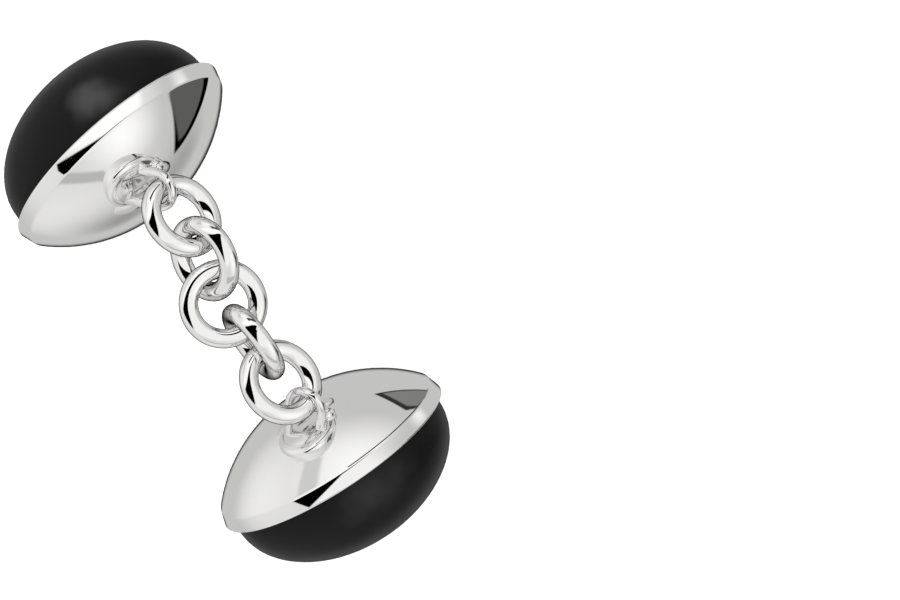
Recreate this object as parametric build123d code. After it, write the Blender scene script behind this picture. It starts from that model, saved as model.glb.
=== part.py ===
from build123d import *
import math
import os

os.makedirs("parts", exist_ok=True)

# A cufflink of two oval silver cups, each holding a black cabochon, joined by a chain of rings.
# It lies on a flat surface, and each cup rests on one long side of its lip and on its stone.
# X runs along the chain, Y along the cups, Z is up. Lengths are millimetres, angles degrees.

# Oval cup, measured at its lip
cup_half_length = 8.6
cup_half_width = 6.57
bezel_height = 1.15
bezel_lean = 0.36
dome_rise = 3.83
dome_wall = 0.6
lip_round = 0.12
crease_round = 0.3
ledge_width = 0.8

# Cabochon: part of an ellipsoid, widest a little outside the lip. The two rims are how far the
# lip reaches past its widest outline, at the oval's ends and at its sides.
rim_at_ends = 0.6
rim_at_sides = 0.55
stone_rise = 5.54
stone_belly = 0.82
stone_seat = 0.9
stone_gap = 0.05

# Round pad on the dome, above its middle, with the bail and a small bead soldered on it
pad_radius = 2.1
pad_above = 3.6
pad_aside = 0.3
pad_lean = 17
pad_proud = 0.15
pad_depth = 2.4
pad_round = 0.5
bead_radius = 0.55
bail_wire = 0.6
bail_leg = 1.75
bail_clearance = 0.2
bail_lean = 32
bail_twist = 50

# Round rings of the chain
link_mid_radius = 2.3
link_wire = 1.3
link_gap = 0.1

# How the chain lies: the steepest slope of a ring, and one row for each ring with its share
# of that slope, its heading from the X axis, its turn about its own length, and half the angle
# by which the chain bends inside that ring
chain_slope = 1.8
chain_route = [
    {"link": 1, "slope_share": 1.0, "heading": 3.3, "turn": -44.5, "bend": 7.7},
    {"link": 2, "slope_share": -0.5, "heading": -8.6, "turn": 47.2, "bend": 1.9},
    {"link": 3, "slope_share": -0.3, "heading": -2.3, "turn": -12.9, "bend": -9.1},
    {"link": 4, "slope_share": 0.3, "heading": 3.8, "turn": 73.3, "bend": -0.9},
    {"link": 5, "slope_share": 0.45, "heading": 5.2, "turn": -36.6, "bend": -8.4},
]

# Which way each end faces about the vertical, from its stone to its bail, and on which side
# of the pad its bead sits. The two ends mirror each other.
heading_a = 8.6
heading_b = 179.7
bead_side_a = -1
bead_side_b = 1

# Sizes that follow from the ones above
stone_half_length = cup_half_length - rim_at_ends
stone_half_width = cup_half_width - rim_at_sides
cup_press = cup_half_width / cup_half_length
dome_half_length = cup_half_length - bezel_lean
dome_radius = (dome_half_length**2 + dome_rise**2) / (2 * dome_rise)
dome_top = bezel_height + dome_rise
dome_centre = dome_top - dome_radius
bail_inner_radius = link_wire / 2 + bail_clearance
bail_mid_radius = bail_inner_radius + bail_wire / 2


def lip_drop(tilt):
    """How far a cup's rounded lip reaches below the cup's centre when its axis is tilted."""
    corner = math.atan2(bezel_height, bezel_lean)
    round_centre = cup_press * (cup_half_length - lip_round / math.tan(corner / 2))
    round_reach = math.hypot(lip_round * cup_press * math.cos(tilt), lip_round * math.sin(tilt))
    return round_centre * math.cos(tilt) - lip_round * math.sin(tilt) + round_reach


def stone_drop(tilt):
    """How far the stone reaches below the cup's centre when the cup's axis is tilted."""
    ellipse_reach = math.hypot(stone_half_width * math.cos(tilt), stone_rise * math.sin(tilt))
    return stone_belly * math.sin(tilt) + ellipse_reach


def rest_tilt():
    """Angle of a cup's axis above the floor when its lip and its stone both touch the floor."""
    low, high = 0.0, math.pi / 3
    for _ in range(50):
        tilt = (low + high) / 2
        if lip_drop(tilt) > stone_drop(tilt):
            low = tilt
        else:
            high = tilt
    return tilt


def turned_oval(outline):
    """A form turned about Z from an outline in XZ, then pressed to the cup's oval."""
    return scale(revolve(outline, Axis.Z), by=(cup_press, 1, 1))


def cup_body():
    """The cup as a filled form: a leaning bezel from the lip at Z = 0, then a domed back."""
    crease_angle = math.degrees(math.atan2(bezel_height - dome_centre, dome_half_length))
    lip = (cup_half_length, 0)
    crease = (dome_half_length, bezel_height)
    edges = Polyline((0, dome_top), (0, 0), lip, crease)
    edges += CenterArc((0, dome_centre), dome_radius, crease_angle, 90 - crease_angle)
    outline = make_face(edges)
    for corner, rounding in ((lip, lip_round), (crease, crease_round)):
        nearest = outline.vertices().sort_by_distance(corner)[0]
        outline = fillet(nearest, rounding)
    return turned_oval(Plane.XZ * outline)


def cup_hollow():
    """The closed space behind the stone, under the dome's wall."""
    seat = stone_seat + stone_gap
    base_share = math.sqrt(1 - ((stone_seat + stone_belly) / stone_rise) ** 2)
    half_length = stone_half_length * base_share - ledge_width
    inner_radius = dome_radius - dome_wall
    shoulder = dome_centre + math.sqrt(inner_radius**2 - half_length**2)
    shoulder_angle = math.degrees(math.atan2(shoulder - dome_centre, half_length))
    edges = Polyline(
        (0, dome_top - dome_wall), (0, seat), (half_length, seat), (half_length, shoulder)
    )
    edges += CenterArc((0, dome_centre), inner_radius, shoulder_angle, 90 - shoulder_angle)
    return turned_oval(Plane.XZ * make_face(edges))


def cabochon(grow=0.0):
    """The stone, dome down, flat at its seat. The pocket for it is the same form, grown."""
    half_width, half_length = stone_half_width + grow, stone_half_length + grow
    whole = scale(Sphere(1), by=(half_width, half_length, stone_rise + grow))
    seat = stone_seat + grow
    above = Pos(0, 0, seat + stone_rise) * Box(3 * half_width, 3 * half_length, 2 * stone_rise)
    return Pos(0, 0, -stone_belly) * whole - above


def pad_place(side):
    """The pad's top: above the dome's middle, a little to one side, leaning as the dome falls."""
    reach = math.hypot(pad_above / cup_press, pad_aside)
    height = dome_centre + math.sqrt(dome_radius**2 - reach**2) + pad_proud
    return Pos(pad_above, -side * pad_aside, height) * Rot(Y=pad_lean)


def bail_place(side):
    """The bail's frame on the pad: leaning towards the bead and twisted about its own length."""
    return pad_place(side) * Rot(X=-side * bail_lean) * Rot(Z=side * bail_twist)


def bail_hole(side):
    """Middle of the opening through which the first or last ring passes."""
    return (bail_place(side) * Pos(0, 0, bail_leg)).position


def pad():
    """A low round pad with a rounded rim, its root inside the dome."""
    disc = Cylinder(pad_radius, pad_depth, align=(Align.CENTER, Align.CENTER, Align.MAX))
    return fillet(disc.edges().sort_by(Axis.Z)[-1], pad_round)


def bail():
    """A wire loop standing on the pad."""
    left, right = -bail_mid_radius, bail_mid_radius
    root = -pad_depth / 2
    path = Line((left, root), (left, bail_leg))
    path += ThreePointArc((left, bail_leg), (0, bail_leg + bail_mid_radius), (right, bail_leg))
    path += Line((right, bail_leg), (right, root))
    section = Pos(left, 0, root) * Circle(bail_wire / 2)
    return sweep(section, path=Plane.XZ * path)


def bead(side):
    """A small bead on the pad's rim."""
    return Pos(0, side * (pad_radius - bead_radius / 2), 0) * Sphere(bead_radius)


def setting(side):
    """One silver end: cup, pad, bail and bead, soldered into one solid and hollowed."""
    metal = cup_body() + pad_place(side) * (pad() + bead(side)) + bail_place(side) * bail()
    return metal - cabochon(grow=stone_gap) - cup_hollow()


def end_place(heading, side, over):
    """Place of one end that rests at its tilt on Z = 0, with its bail's hole over a point."""
    tilt, turn = rest_tilt(), math.radians(heading)
    axis = Vector(math.cos(tilt) * math.cos(turn), math.cos(tilt) * math.sin(turn), math.sin(tilt))
    up = Vector(-math.sin(tilt) * math.cos(turn), -math.sin(tilt) * math.sin(turn), math.cos(tilt))
    hole = Plane(origin=(0, 0, 0), x_dir=up, z_dir=axis).from_local_coords(bail_hole(side))
    return Plane(origin=(over.X - hole.X, over.Y - hole.Y, lip_drop(tilt)), x_dir=up, z_dir=axis)


def link_axes(row):
    """The directions along and across a ring. Its Y side rises as its turn grows."""
    slope = math.radians(row["slope_share"] * chain_slope)
    heading, turn = math.radians(row["heading"]), math.radians(row["turn"])
    level = Vector(-math.sin(heading), math.cos(heading), 0)
    forward = Vector(math.cos(heading), math.sin(heading), 0)
    along = forward * math.cos(slope) + Vector(0, 0, math.sin(slope))
    return along, level * math.cos(turn) + along.cross(level) * math.sin(turn)


def chain_directions(row):
    """The chain's directions where it comes into a ring and where it leaves it."""
    along, across = link_axes(row)
    bend = math.radians(row["bend"])
    turned = across * math.sin(bend)
    return along * math.cos(bend) + turned, along * math.cos(bend) - turned


def chain_layout(start):
    """Each ring's plane from the first bail's hole on, and the place of the last bail's hole."""
    planes = []
    near = start
    for row, following in zip(chain_route, chain_route[1:] + [None]):
        arriving, leaving = chain_directions(row)
        along, across = link_axes(row)
        centre = near + arriving * link_mid_radius
        planes.append(Plane(origin=centre, x_dir=along, z_dir=along.cross(across)))
        far = centre + leaving * link_mid_radius
        if following:
            between = (leaving + chain_directions(following)[0]).normalized()
            near = far - between * (link_wire + link_gap)
    return planes, far


def ends_and_links():
    """Every piece by its node's name, with the first bail's hole over the origin."""
    first = end_place(heading_a, bead_side_a, Vector(0, 0, 0))
    planes, finish = chain_layout(first.from_local_coords(bail_hole(bead_side_a)))
    last = end_place(heading_b, bead_side_b, finish)
    pieces = {
        "setting_a": first.location * setting(bead_side_a),
        "stone_a": first.location * cabochon(),
        "setting_b": last.location * setting(bead_side_b),
        "stone_b": last.location * cabochon(),
    }
    for row, plane in zip(chain_route, planes):
        pieces[f"link_{row['link']}"] = plane.location * Torus(link_mid_radius, link_wire / 2)
    return pieces


pieces = ends_and_links()
whole = Compound([piece.solid() for piece in pieces.values()]).bounding_box()
for name, piece in pieces.items():
    export_step(Pos(-whole.center().X, -whole.center().Y, 0) * piece, f"parts/{name}.step")
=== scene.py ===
import math

import bpy
from mathutils import Euler, Matrix, Vector

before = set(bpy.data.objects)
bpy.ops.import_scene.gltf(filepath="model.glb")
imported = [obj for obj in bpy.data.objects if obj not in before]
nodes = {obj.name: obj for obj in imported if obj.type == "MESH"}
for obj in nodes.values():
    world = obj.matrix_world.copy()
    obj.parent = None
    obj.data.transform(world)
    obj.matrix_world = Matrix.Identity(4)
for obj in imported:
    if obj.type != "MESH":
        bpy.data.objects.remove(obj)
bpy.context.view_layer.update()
MM = 0.001

LINK_NODES = [f"link_{number}" for number in range(1, 6)]
STONE_NODES = ["stone_a", "stone_b"]

# The two cups: the middle of the lip, the way from the stone to the bail about the vertical in
# degrees, which side of the middle the pad is on, and how much the slope of the bezel's polish
# grows from lip to crease
CUPS = {
    "setting_a": {
        "lip_middle": Vector((-12.533, -0.506, 6.221)) * MM,
        "heading": 8.6,
        "pad_side": 1,
        "bezel_bulge": 0.10,
    },
    "setting_b": {
        "lip_middle": Vector((12.590, 0.397, 6.221)) * MM,
        "heading": 179.7,
        "pad_side": -1,
        "bezel_bulge": 0.26,
    },
}
CUP_TILT = math.radians(17.06)

# The cup's own sizes, with its heights from the lip. The bezel is a cone and the dome part of a
# sphere, both turned about the cup's axis and then pressed to its oval.
CUP_HALF_LENGTH = 8.6 * MM
CUP_HALF_WIDTH = 6.57 * MM
CUP_PRESS = CUP_HALF_WIDTH / CUP_HALF_LENGTH
BEZEL_HEIGHT = 1.15 * MM
BEZEL_LEAN = 0.36 * MM
CREASE_ROUND = 0.21 * MM
LIP_ROUND = 0.12 * MM
DOME_RISE = 3.83 * MM
DOME_HALF_LENGTH = CUP_HALF_LENGTH - BEZEL_LEAN
DOME_RADIUS = (DOME_HALF_LENGTH**2 + DOME_RISE**2) / (2 * DOME_RISE)
DOME_CENTRE = BEZEL_HEIGHT + DOME_RISE - DOME_RADIUS

# The exact directions of bezel and dome are used where a surface lies within the slack of them,
# clear of the lip's rounding and of the pad. A fade is how far past an edge a change is complete,
# as a share of that edge.
SURFACE_SLACK = 0.07 * MM
CREASE_FADE = 0.001
LIP_FADE = 0.2
SLACK_FADE = 0.2
PAD_FADE = 0.02

# The round pad on each dome: how far its middle is above the dome's middle and to one side, and
# how proud of the dome
PAD_ABOVE = 3.6 * MM
PAD_ASIDE = 0.3 * MM
PAD_PROUD = 0.15 * MM
PAD_FROM_AXIS = math.hypot(PAD_ABOVE / CUP_PRESS, PAD_ASIDE)
PAD_HEIGHT = DOME_CENTRE + math.sqrt(DOME_RADIUS**2 - PAD_FROM_AXIS**2) + PAD_PROUD
PAD_REACH = 1.65 * MM
PAD_TOP_REACH = 0.8 * PAD_REACH
PAD_CLEAR = 2.45 * MM
PAD_CROWN = 0.4
PAD_NOISE = {"scale": 500.0, "detail": 0.0}
PAD_NOISE_MIDDLE = (0.5, 0.5, 0.5)
PAD_NOISE_DEPTH = 0.5
PAD_ROUGHNESS = 0.07

SILVER_COLOUR = (0.93, 0.925, 0.915, 1.0)
SILVER_NOISE = {"scale": 900.0, "detail": 3.0}
SILVER_NOISE_SPAN = (0.35, 0.75)
SILVER_ROUGHNESS = (0.02, 0.04)

# How much the rings' upper sides are polished flat and leaned, and how level a surface has to be
# for that to start and to be complete
RING_FLATNESS = 1.0
RING_LEAN = 0.24
RING_TOP_SPAN = (0.5, 0.95)

STONE_SHADE = 0.004
STONE_SPECULAR = 0.12
STONE_NOISE = {"scale": 260.0, "detail": 2.0}
STONE_NOISE_SPAN = (0.35, 0.70)
STONE_ROUGHNESS = (0.32, 0.40)

# Faint painted highlights in the stones' colour: lighter patches with ragged edges
STONE_PAINTED_HIGHLIGHTS = [
    {"middle": Vector((-15.7, 1.0, 11.4)) * MM, "reach": 2.5 * MM, "added": 0.038},
    {"middle": Vector((15.6, 1.8, 11.4)) * MM, "reach": 3.2 * MM, "added": 0.012},
]
HIGHLIGHT_NOISE_SPAN = (0.3, 0.7)
HIGHLIGHT_RAGGED = 0.8 * MM

FLOOR_SIZE = 6.0
FLOOR_COLOUR = (0.96, 0.96, 0.96, 1.0)
FLOOR_ROUGHNESS = 0.9

# The camera: its turns about X, Y and Z in degrees, and its place. It looks almost straight down.
CAMERA_TURNS = (-2.157, 0.392, 56.984)
CAMERA_TURN = Euler([math.radians(turn) for turn in CAMERA_TURNS]).to_matrix()
VIEW_RIGHT, VIEW_UP, VIEW_BACK = CAMERA_TURN.transposed()
CAMERA_PLACE = Vector((0.07, 20.17, 290.99)) * MM
LENS_MM = 170.39
SENSOR_MM = 36.0

# The studio as polished metal sees it. Directions are given as (right, up) slopes: the slope of
# the bit of metal that mirrors that direction into the camera. (0, 0) is towards the camera and
# a slope of 1 is square to it. The soft lights add to an even level.
EVEN_LEVEL = 0.58
SOFT_LIGHTS = [
    {"centre": (0.27, -0.19), "radius": 0.37, "added": 0.42},
    {"centre": (-0.02, 0.23), "radius": 0.53, "added": 0.40},
    {"centre": (-0.78, 0.06), "radius": 0.99, "added": 0.31},
    {"centre": (0.02, -1.05), "radius": 1.26, "added": 0.29},
    {"centre": (1.19, -0.76), "radius": 0.82, "added": -0.20},
    {"centre": (0.50, -1.44), "radius": 0.98, "added": -0.36},
    {"centre": (0.66, 0.47), "radius": 0.22, "added": 0.35},
]

# Cards in front of them: a convex outline in slopes, the level of brightness, and how soft the
# edge is. A card covers those above it in the list.
GREY_BANDS = [
    {
        "outline": [(-0.14, -0.42), (0.45, -0.47), (0.42, -0.56), (-0.15, -0.52)],
        "level": 0.50,
        "edge": 0.02,
    },
    {
        "outline": [(-0.42, 0.04), (-0.28, 0.08), (-0.28, 0.42), (-0.40, 0.36)],
        "level": 0.64,
        "edge": 0.02,
    },
]
BRIGHT_CARDS = [
    {
        "outline": [
            (-0.40, -0.16), (0.02, 0.05), (0.20, 0.22), (0.20, 0.31), (-0.06, 0.15), (-0.38, -0.09)
        ],
        "level": 1.08,
        "edge": 0.03,
    },
    {
        "outline": [
            (-0.17, -0.34), (0.00, -0.31), (0.14, -0.20), (0.26, -0.10), (0.14, 0.10), (-0.05, -0.10)
        ],
        "level": 0.94,
        "edge": 0.03,
    },
]
# The dark opening lies between the two bright cards
DARK_OPENING = {
    "outline": [(-0.335, -0.1675), (0.167, 0.185), (-0.1745, -0.308), (-0.34, -0.206)],
    "level": 0.0,
    "edge": 0.004,
}
# A thin dark bent strip, one card for each length between the points of its two sides
STRIP_NEAR = [(-0.055, 0.140), (0.183, 0.357), (0.424, 0.665), (0.590, 0.920)]
STRIP_FAR = [(-0.110, 0.206), (0.114, 0.426), (0.318, 0.742), (0.442, 1.004)]
STRIP_CORNERS = zip(STRIP_NEAR, STRIP_NEAR[1:], STRIP_FAR[1:], STRIP_FAR)
DARK_STRIP = [{"outline": corners, "level": 0.06, "edge": 0.006} for corners in STRIP_CORNERS]

# Two dark cards, on the right and at the top, each nearly black at its rim with grey inside
RIGHT_CARD = [
    {
        "outline": [
            (0.655, 0.01), (0.925, -0.54), (1.08, -0.44), (1.25, -0.29),
            (1.45, -0.08), (1.72, 0.18), (1.75, 0.30), (0.70, 0.12)
        ],
        "level": 0.0,
        "edge": 0.02,
    },
    {
        "outline": [
            (0.63, 0.03), (0.78, -0.20), (0.93, -0.40), (1.02, -0.37), (1.18, -0.21),
            (1.32, -0.04), (1.44, 0.16), (1.46, 0.30), (0.70, 0.14)
        ],
        "level": 0.11,
        "edge": 0.03,
    },
]
TOP_CARD = [
    {
        "outline": [(-0.01, 1.10), (0.25, 0.76), (0.60, 1.00), (0.78, 1.62)],
        "level": 0.03,
        "edge": 0.012,
    },
    {
        "outline": [(0.07, 1.112), (0.265, 0.845), (0.70, 0.98), (0.85, 1.62)],
        "level": 0.22,
        "edge": 0.02,
    },
]
CARDS = [*GREY_BANDS, *BRIGHT_CARDS, DARK_OPENING, *DARK_STRIP, *RIGHT_CARD, *TOP_CARD]

# Straight behind the object the studio is dark, which draws a thin line round each outline
BEHIND_LEVEL = 0.05
BEHIND_SLOPES = (3.2, 7.0)
BEHIND_LIMIT = 0.002

# What the camera and the floor see in place of the studio
CAMERA_SEES = 1.0
FLOOR_SEES = 1.8


class Nodes:
    """Short ways to add nodes to one tree."""

    def __init__(self, tree):
        self.tree = tree

    def add(self, kind, operation=None, **values):
        """Adds a node and returns it."""
        node = self.tree.nodes.new(kind)
        if operation:
            node.operation = operation
        for key, value in values.items():
            setattr(node, key, value)
        return node

    def feed(self, socket, value):
        """Links a socket to another node's output, or sets its value."""
        if isinstance(value, bpy.types.NodeSocket):
            self.tree.links.new(value, socket)
        else:
            socket.default_value = value

    def math(self, operation, first, second=0.0):
        """A sum with one or two numbers."""
        node = self.add("ShaderNodeMath", operation)
        self.feed(node.inputs[0], first)
        self.feed(node.inputs[1], second)
        return node.outputs[0]

    def vector(self, operation, first, second=(0.0, 0.0, 0.0), result="Vector"):
        """A sum with one or two vectors."""
        node = self.add("ShaderNodeVectorMath", operation)
        self.feed(node.inputs[0], first)
        self.feed(node.inputs[1], second)
        return node.outputs[result]

    def dot(self, first, second):
        """How far one vector reaches along another of length 1."""
        return self.vector("DOT_PRODUCT", first, second, "Value")

    def length(self, vector):
        """The length of a vector."""
        return self.vector("LENGTH", vector, result="Value")

    def distance(self, first, second):
        """How far two places are apart."""
        return self.vector("DISTANCE", first, second, "Value")

    def scaled(self, vector, size):
        """A vector times a number."""
        node = self.add("ShaderNodeVectorMath", "SCALE")
        self.feed(node.inputs[0], vector)
        self.feed(node.inputs["Scale"], size)
        return node.outputs["Vector"]

    def join(self, x, y, z):
        """A vector from three numbers."""
        node = self.add("ShaderNodeCombineXYZ")
        for socket, value in zip(node.inputs, (x, y, z)):
            self.feed(socket, value)
        return node.outputs[0]

    def along_axes(self, vector, axes):
        """A vector that is given along three axes, as one along X, Y and Z."""
        split = self.add("ShaderNodeSeparateXYZ")
        self.feed(split.inputs[0], vector)
        first, second, third = (
            self.scaled(tuple(axis), share) for axis, share in zip(axes, split.outputs)
        )
        return self.vector("ADD", self.vector("ADD", first, second), third)

    def span(self, value, low, high, out_low=0.0, out_high=1.0, smooth=True):
        """Maps a value from one span to another, clamped."""
        kind = "SMOOTHSTEP" if smooth else "LINEAR"
        node = self.add("ShaderNodeMapRange", interpolation_type=kind)
        names = ("Value", "From Min", "From Max", "To Min", "To Max")
        for name, number in zip(names, (value, low, high, out_low, out_high)):
            self.feed(node.inputs[name], number)
        return node.outputs["Result"]

    def past(self, value, edge, fade):
        """0 up to an edge, and 1 from where its fade is complete."""
        return self.span(value, edge, edge * (1 + fade))

    def blend(self, share, first, second):
        """A number between two others."""
        first_part = self.math("MULTIPLY", first, self.math("SUBTRACT", 1.0, share))
        return self.math("ADD", first_part, self.math("MULTIPLY", second, share))

    def noise(self, place, scale, detail):
        """Adds a noise that depends on place."""
        node = self.add("ShaderNodeTexNoise")
        node.inputs["Scale"].default_value = scale
        node.inputs["Detail"].default_value = detail
        self.feed(node.inputs["Vector"], place)
        return node


def convex_mask(net, point, outline, edge):
    """1 inside a convex outline in slopes, falling to 0 across its soft edge."""
    corners = [Vector(corner) for corner in outline]
    following = corners[1:] + corners[:1]
    area = sum(start.x * end.y - end.x * start.y for start, end in zip(corners, following))
    mask = None
    for start, end in zip(corners, following):
        run = (end - start) * (1 if area > 0 else -1)
        inward = Vector((-run.y, run.x)).normalized()
        side = net.dot(point, (inward.x, inward.y, -inward.dot(start)))
        step = net.span(side, -edge, edge)
        mask = step if mask is None else net.math("MULTIPLY", mask, step)
    return mask


def studio():
    """The studio that the metal mirrors. The camera and the floor see an even light instead."""
    world = bpy.data.worlds.new("studio")
    bpy.context.scene.world = world
    world.use_nodes = True
    net = Nodes(world.node_tree)
    background = world.node_tree.nodes["Background"]
    direction = net.add("ShaderNodeTexCoord").outputs["Generated"]
    facing = net.math("ADD", net.dot(direction, tuple(VIEW_BACK)), 1.0)
    facing = net.math("MAXIMUM", facing, BEHIND_LIMIT)
    right_slope = net.math("DIVIDE", net.dot(direction, tuple(VIEW_RIGHT)), facing)
    up_slope = net.math("DIVIDE", net.dot(direction, tuple(VIEW_UP)), facing)
    # the third number is 1, so that one dot product gives the distance from a line
    point = net.join(right_slope, up_slope, 1.0)

    level = EVEN_LEVEL
    for light in SOFT_LIGHTS:
        away = net.distance(point, (*light["centre"], 1.0))
        level = net.math("ADD", net.span(away, 0.0, light["radius"], light["added"], 0.0), level)
    for card in CARDS:
        mask = convex_mask(net, point, card["outline"], card["edge"])
        level = net.blend(mask, level, card["level"])
    steepness = net.distance(point, (0.0, 0.0, 1.0))
    level = net.blend(net.span(steepness, *BEHIND_SLOPES), level, BEHIND_LEVEL)
    net.feed(background.inputs["Color"], net.join(level, level, level))

    shader = background.outputs[0]
    rays = net.add("ShaderNodeLightPath")
    for kind, sees in (("Is Diffuse Ray", FLOOR_SEES), ("Is Camera Ray", CAMERA_SEES)):
        even = net.add("ShaderNodeBackground")
        even.inputs["Color"].default_value = (sees, sees, sees, 1.0)
        mix = net.add("ShaderNodeMixShader")
        net.feed(mix.inputs[0], rays.outputs[kind])
        net.feed(mix.inputs[1], shader)
        net.feed(mix.inputs[2], even.outputs[0])
        shader = mix.outputs[0]
    net.feed(world.node_tree.nodes["World Output"].inputs["Surface"], shader)
    world.cycles.sampling_method = "NONE"


def new_material(name):
    """A new material, with its nodes and its shader."""
    material = bpy.data.materials.new(name)
    material.use_nodes = True
    return material, Nodes(material.node_tree), material.node_tree.nodes["Principled BSDF"]


def plain_floor():
    """Plain pale floor. The metal mirrors the studio's lower half in its place."""
    bpy.ops.mesh.primitive_plane_add(size=FLOOR_SIZE, location=(0, 0, 0))
    floor = bpy.context.object
    floor.name = "floor"
    floor.visible_glossy = False
    material, _, shader = new_material("floor_white")
    shader.inputs["Base Color"].default_value = FLOOR_COLOUR
    shader.inputs["Roughness"].default_value = FLOOR_ROUGHNESS
    shader.inputs["Specular IOR Level"].default_value = 0.0
    floor.data.materials.append(material)


def silver(net, shader):
    """Makes a shader silver, and returns its slightly uneven roughness."""
    shader.inputs["Metallic"].default_value = 1.0
    shader.inputs["Base Color"].default_value = SILVER_COLOUR
    noise = net.noise(net.add("ShaderNodeTexCoord").outputs["Object"], **SILVER_NOISE)
    return net.span(noise.outputs["Fac"], *SILVER_NOISE_SPAN, *SILVER_ROUGHNESS)


def cup_axes(cup):
    """A cup's directions: across its face towards the pad, along it, and out through the dome."""
    heading = math.radians(cup["heading"])
    level = Vector((math.cos(heading), math.sin(heading), 0.0))
    upright = Vector((0.0, 0.0, 1.0))
    axis = level * math.cos(CUP_TILT) + upright * math.sin(CUP_TILT)
    across = upright * math.cos(CUP_TILT) - level * math.sin(CUP_TILT)
    return across, axis.cross(across), axis


def cup_form(net, place, height, bulge):
    """Which way a cup's bezel and dome face, along the cup's axes, and where that holds."""
    lengthened = net.vector("MULTIPLY", place, (1 / CUP_PRESS, 1.0, 0.0))
    reach = net.length(lengthened)
    from_centre = net.math("SUBTRACT", height, DOME_CENTRE)
    on_dome = net.past(height, BEZEL_HEIGHT, CREASE_FADE)

    # the bezel's polish is a little rounded from lip to crease, and more at the crease
    lip_slope = BEZEL_LEAN / BEZEL_HEIGHT - bulge / 2
    crease_slope = BEZEL_LEAN / BEZEL_HEIGHT + bulge / 2
    dome_slope = (BEZEL_HEIGHT - DOME_CENTRE) / DOME_HALF_LENGTH
    crease_start = BEZEL_HEIGHT - CREASE_ROUND
    slope = net.span(height, 0.0, BEZEL_HEIGHT, lip_slope, crease_slope, smooth=False)
    added = net.span(height, crease_start, BEZEL_HEIGHT, 0.0, dome_slope - crease_slope, smooth=False)
    slope = net.math("ADD", slope, added)
    lift = net.blend(on_dome, net.math("MULTIPLY", reach, slope), from_centre)
    oval = net.vector("MULTIPLY", place, (1 / CUP_PRESS**2, 1.0, 0.0))
    facing = net.vector("NORMALIZE", net.vector("ADD", oval, net.join(0.0, 0.0, lift)))

    # how far the surface is off the cone or the sphere
    cone_reach = net.span(height, 0.0, BEZEL_HEIGHT, CUP_HALF_LENGTH, DOME_HALF_LENGTH, smooth=False)
    off_cone = net.math("ABSOLUTE", net.math("SUBTRACT", reach, cone_reach))
    from_dome_centre = net.length(net.vector("ADD", lengthened, net.join(0.0, 0.0, from_centre)))
    off_dome = net.math("ABSOLUTE", net.math("SUBTRACT", from_dome_centre, DOME_RADIUS))
    off_form = net.past(net.blend(on_dome, off_cone, off_dome), SURFACE_SLACK, SLACK_FADE)
    past_lip = net.past(height, LIP_ROUND, LIP_FADE)
    return facing, net.math("MULTIPLY", net.math("SUBTRACT", 1.0, off_form), past_lip)


def cup_silver(name, cup):
    """A cup's silver. Its bezel is a little rounded, and its pad uneven from the soldering."""
    material, net, shader = new_material(name)
    geometry = net.add("ShaderNodeNewGeometry")
    axes = cup_axes(cup)
    from_lip = net.vector("SUBTRACT", geometry.outputs["Position"], tuple(cup["lip_middle"]))
    shares = [net.dot(from_lip, tuple(axis)) for axis in axes]
    facing, on_form = cup_form(net, net.join(*shares), shares[2], cup["bezel_bulge"])

    pad_shares = Vector((PAD_ABOVE, cup["pad_side"] * PAD_ASIDE, PAD_HEIGHT))
    pad_middle = cup["lip_middle"] + Matrix(axes).transposed() @ pad_shares
    from_pad = net.vector("SUBTRACT", geometry.outputs["Position"], tuple(pad_middle))
    pad_distance = net.length(from_pad)
    on_form = net.math("MULTIPLY", on_form, net.past(pad_distance, PAD_CLEAR, PAD_FADE))
    kept = net.scaled(geometry.outputs["Normal"], net.math("SUBTRACT", 1.0, on_form))
    normal = net.vector("ADD", kept, net.scaled(net.along_axes(facing, axes), on_form))

    # the pad's top is crowned, uneven and a little rougher
    on_pad = net.span(pad_distance, PAD_TOP_REACH, PAD_REACH, 1.0, 0.0)
    crown = net.scaled(from_pad, net.math("MULTIPLY", on_pad, PAD_CROWN / PAD_REACH))
    noise = net.noise(from_lip, **PAD_NOISE)
    lumps = net.vector("SUBTRACT", noise.outputs["Color"], PAD_NOISE_MIDDLE)
    lumps = net.scaled(lumps, net.math("MULTIPLY", on_pad, PAD_NOISE_DEPTH))
    normal = net.vector("ADD", net.vector("ADD", normal, crown), lumps)
    net.feed(shader.inputs["Normal"], net.vector("NORMALIZE", normal))
    rougher = net.math("MULTIPLY", on_pad, PAD_ROUGHNESS)
    net.feed(shader.inputs["Roughness"], net.math("ADD", silver(net, shader), rougher))
    return material


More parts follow.
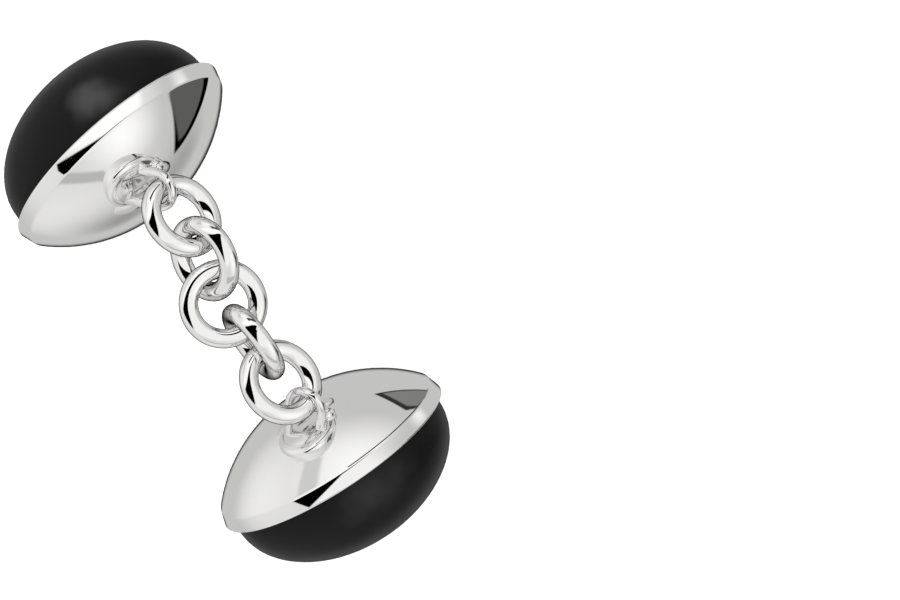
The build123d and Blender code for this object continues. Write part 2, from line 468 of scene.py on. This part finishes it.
def ring_silver():
    """The rings' silver. Their upper sides are polished a little flat, and their edges darkened by a
    black edge tint, a painted dark reflection.
    """
    material, net, shader = new_material("ring_silver")
    net.feed(shader.inputs["Roughness"], silver(net, shader))
    # The black edge tint darkens the silver at grazing angles: a painted dark reflection along the
    # rings' edges
    shader.inputs["Specular Tint"].default_value = (0.0, 0.0, 0.0, 1.0)
    normal = net.add("ShaderNodeNewGeometry").outputs["Normal"]
    facing_up = net.span(net.dot(normal, (0, 0, 1)), *RING_TOP_SPAN)
    flat = Vector((0, 0, RING_FLATNESS)) - RING_LEAN * VIEW_UP
    flatter = net.vector("ADD", normal, net.scaled(tuple(flat), facing_up))
    net.feed(shader.inputs["Normal"], net.vector("NORMALIZE", flatter))
    return material


def stone_material():
    """Black onyx with a soft polish, and a faint lighter patch painted into each stone's colour as a
    highlight.
    """
    material, net, shader = new_material("black_onyx")
    shader.inputs["Specular IOR Level"].default_value = STONE_SPECULAR
    noise = net.noise(net.add("ShaderNodeTexCoord").outputs["Object"], **STONE_NOISE)
    roughness = net.span(noise.outputs["Fac"], *STONE_NOISE_SPAN, *STONE_ROUGHNESS)
    net.feed(shader.inputs["Roughness"], roughness)
    place = net.add("ShaderNodeNewGeometry").outputs["Position"]
    # Painted highlights: each stone's base colour is lifted in a soft lighter patch, its edge made
    # ragged by the noise
    ragged = net.span(noise.outputs["Fac"], *HIGHLIGHT_NOISE_SPAN, -HIGHLIGHT_RAGGED, HIGHLIGHT_RAGGED)
    tone_and_highlight = STONE_SHADE
    for highlight in STONE_PAINTED_HIGHLIGHTS:
        away = net.math("ADD", net.distance(place, tuple(highlight["middle"])), ragged)
        tone_and_highlight = net.math("ADD", net.span(away, 0.0, highlight["reach"], highlight["added"], 0.0), tone_and_highlight)
    net.feed(shader.inputs["Base Color"], net.join(tone_and_highlight, tone_and_highlight, tone_and_highlight))
    return material


def paint(names, material):
    """Gives each named node one material."""
    for name in names:
        mesh = nodes[name].data
        mesh.materials.clear()
        mesh.materials.append(material)


def photo_camera():
    """A long lens high above the object, looking almost straight down."""
    camera = bpy.data.objects.new("camera", bpy.data.cameras.new("camera"))
    bpy.context.scene.collection.objects.link(camera)
    bpy.context.scene.camera = camera
    camera.data.sensor_width = SENSOR_MM
    camera.data.lens = LENS_MM
    camera.matrix_world = Matrix.Translation(CAMERA_PLACE) @ CAMERA_TURN.to_4x4()
    bpy.context.scene.view_settings.view_transform = "Standard"


studio()
plain_floor()
for name, cup in CUPS.items():
    paint([name], cup_silver(f"cup_silver_{name[-1]}", cup))
paint(LINK_NODES, ring_silver())
paint(STONE_NODES, stone_material())
photo_camera()
